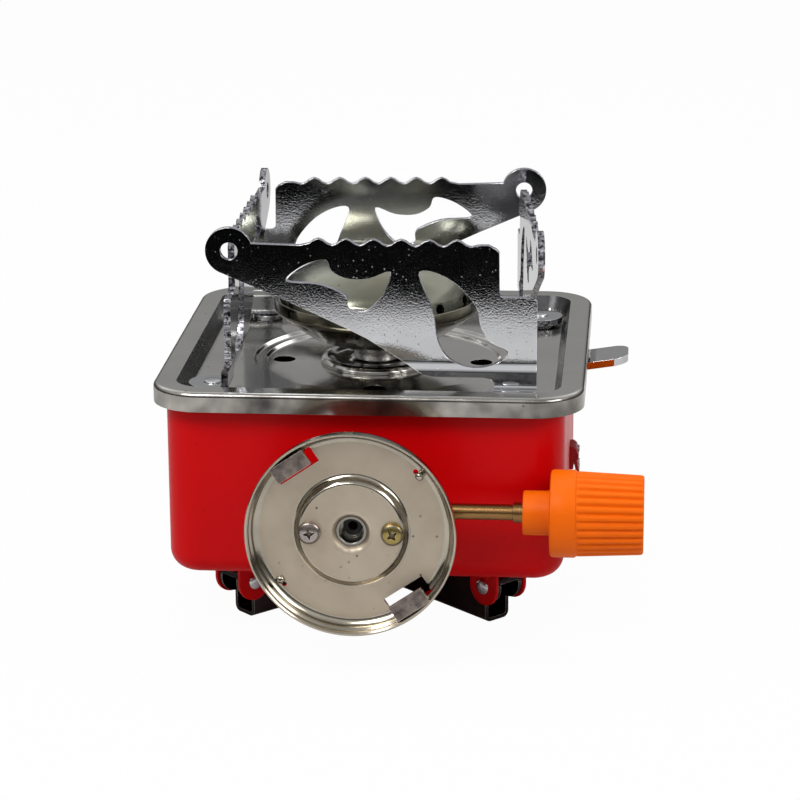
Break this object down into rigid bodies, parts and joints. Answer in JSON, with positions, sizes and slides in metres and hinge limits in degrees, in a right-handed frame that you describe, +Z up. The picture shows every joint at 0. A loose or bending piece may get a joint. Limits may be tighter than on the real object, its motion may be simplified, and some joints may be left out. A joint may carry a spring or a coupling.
{
  "type": "butane cassette stove",
  "caption": "Small square folding gas stove with swivelling serrated pot supports, a dished burner, folding legs, a side knob and a bayonet disc for a lying gas cartridge.",
  "frame": {"origin": "centre of the footprint's bounding box, on the ground under the folded legs", "axes": "+X toward the knob, +Y away from the cartridge disc, +Z up"},
  "size_m": [0.1232, 0.1308, 0.1032],
  "materials": {
    "red_enamel": "gloss",
    "dark_red_enamel": "gloss",
    "stainless_tray": "polished",
    "polished_plate": "mirror polished",
    "burner_steel": "satin",
    "tube_steel": "satin",
    "socket_steel": "polished",
    "screw_steel": "polished",
    "screw_brass": "polished",
    "rivet_steel": "satin",
    "leg_steel": "polished, dark",
    "wire_steel": "satin",
    "nickel_disc": "nickel plated, dull",
    "brass": "turned",
    "orange_plastic": "satin",
    "white_plastic": "satin",
    "black_plastic": "satin",
    "black_rubber": "matt",
    "lead_sleeve": "matt",
    "ceramic": "glazed"
  },
  "bodies": {
    "stove": {"body_pan": "red_enamel", "top_tray": "stainless_tray", "neck_flange": "stainless_tray", "mixing_tube": "tube_steel", "front_flange": "tube_steel", "flange_screws": "screw_steel", "burner_bowl": "burner_steel", "burner_cap": "burner_steel", "gas_jet": "brass", "valve_body": "brass", "gland_nut": "brass", "connector_disc": "nickel_disc", "nozzle_socket": "socket_steel", "socket_seal": "black_rubber", "disc_screw_left": "screw_steel", "disc_screw_right": "screw_brass", "support_rivets": "rivet_steel", "support_washers": "rivet_steel", "leg_bracket_front_right": "red_enamel", "leg_bracket_rear_right": "red_enamel", "leg_bracket_rear_left": "red_enamel", "leg_bracket_front_left": "red_enamel", "leg_pins": "rivet_steel", "igniter_unit": "white_plastic", "lever_bracket": "tube_steel", "lever_pin": "rivet_steel", "side_clip": "dark_red_enamel", "clip_pins": "rivet_steel", "electrode": "wire_steel", "electrode_insulator": "ceramic", "ignition_lead": "lead_sleeve"},
    "support_front": {"pot_support_front": "polished_plate"},
    "support_right": {"pot_support_right": "polished_plate"},
    "support_rear": {"pot_support_rear": "polished_plate"},
    "support_left": {"pot_support_left": "polished_plate"},
    "leg_front_right": {"leg_front_right": "leg_steel"},
    "leg_rear_right": {"leg_rear_right": "leg_steel"},
    "leg_rear_left": {"leg_rear_left": "leg_steel"},
    "leg_front_left": {"leg_front_left": "leg_steel"},
    "knob_set": {"knob": "orange_plastic", "valve_spindle": "brass"},
    "lever": {"igniter_lever": "polished_plate"},
    "plunger": {"igniter_plunger": "black_plastic"}
  },
  "joints": [
    {"name": "support_front_swing", "type": "hinge", "parent": "stove", "child": "support_front", "pos_m": [0.0277, -0.02855, 0.0625], "axis": [0, 0, 1], "range_deg": [0, 135]},
    {"name": "support_right_swing", "type": "hinge", "parent": "stove", "child": "support_right", "pos_m": [0.0324, 0.04675, 0.0625], "axis": [0, 0, 1], "range_deg": [-6, 135]},
    {"name": "support_rear_swing", "type": "hinge", "parent": "stove", "child": "support_rear", "pos_m": [-0.0429, 0.05145, 0.0625], "axis": [0, 0, 1], "range_deg": [-3.5, 135]},
    {"name": "support_left_swing", "type": "hinge", "parent": "stove", "child": "support_left", "pos_m": [-0.0476, -0.02385, 0.0625], "axis": [0, 0, 1], "range_deg": [0, 135]},
    {"name": "leg_front_right_fold", "type": "hinge", "parent": "stove", "child": "leg_front_right", "pos_m": [0.02465, -0.0215, 0.0103], "axis": [-0.7071, -0.7071, 0], "range_deg": [0, 120]},
    {"name": "leg_rear_right_fold", "type": "hinge", "parent": "stove", "child": "leg_rear_right", "pos_m": [0.02465, 0.0444, 0.0103], "axis": [0.7071, -0.7071, 0], "range_deg": [0, 120]},
    {"name": "leg_rear_left_fold", "type": "hinge", "parent": "stove", "child": "leg_rear_left", "pos_m": [-0.04125, 0.0444, 0.0103], "axis": [0.7071, 0.7071, 0], "range_deg": [0, 120]},
    {"name": "leg_front_left_fold", "type": "hinge", "parent": "stove", "child": "leg_front_left", "pos_m": [-0.04125, -0.0215, 0.0103], "axis": [-0.7071, 0.7071, 0], "range_deg": [0, 120]},
    {"name": "knob_turn", "type": "hinge", "parent": "stove", "child": "knob_set", "pos_m": [0.0424, -0.04755, 0.0379], "axis": [1, 0, 0], "range_deg": [0, 300]},
    {"name": "lever_press", "type": "hinge", "parent": "stove", "child": "lever", "pos_m": [0.0204, 0.01965, 0.05174], "axis": [0, 1, 0], "range_deg": [0, 8], "stiffness_Nm_per_rad": 1.1, "springref_deg": -1.72},
    {"name": "plunger_slide", "type": "slide", "parent": "stove", "child": "plunger", "axis": [0, 0, 1], "range_m": [-0.0018, 0]}
  ],
  "couplings": [
    {"joint": "plunger_slide", "follows": "lever_press", "m_per_rad": -0.0125}
  ]
}
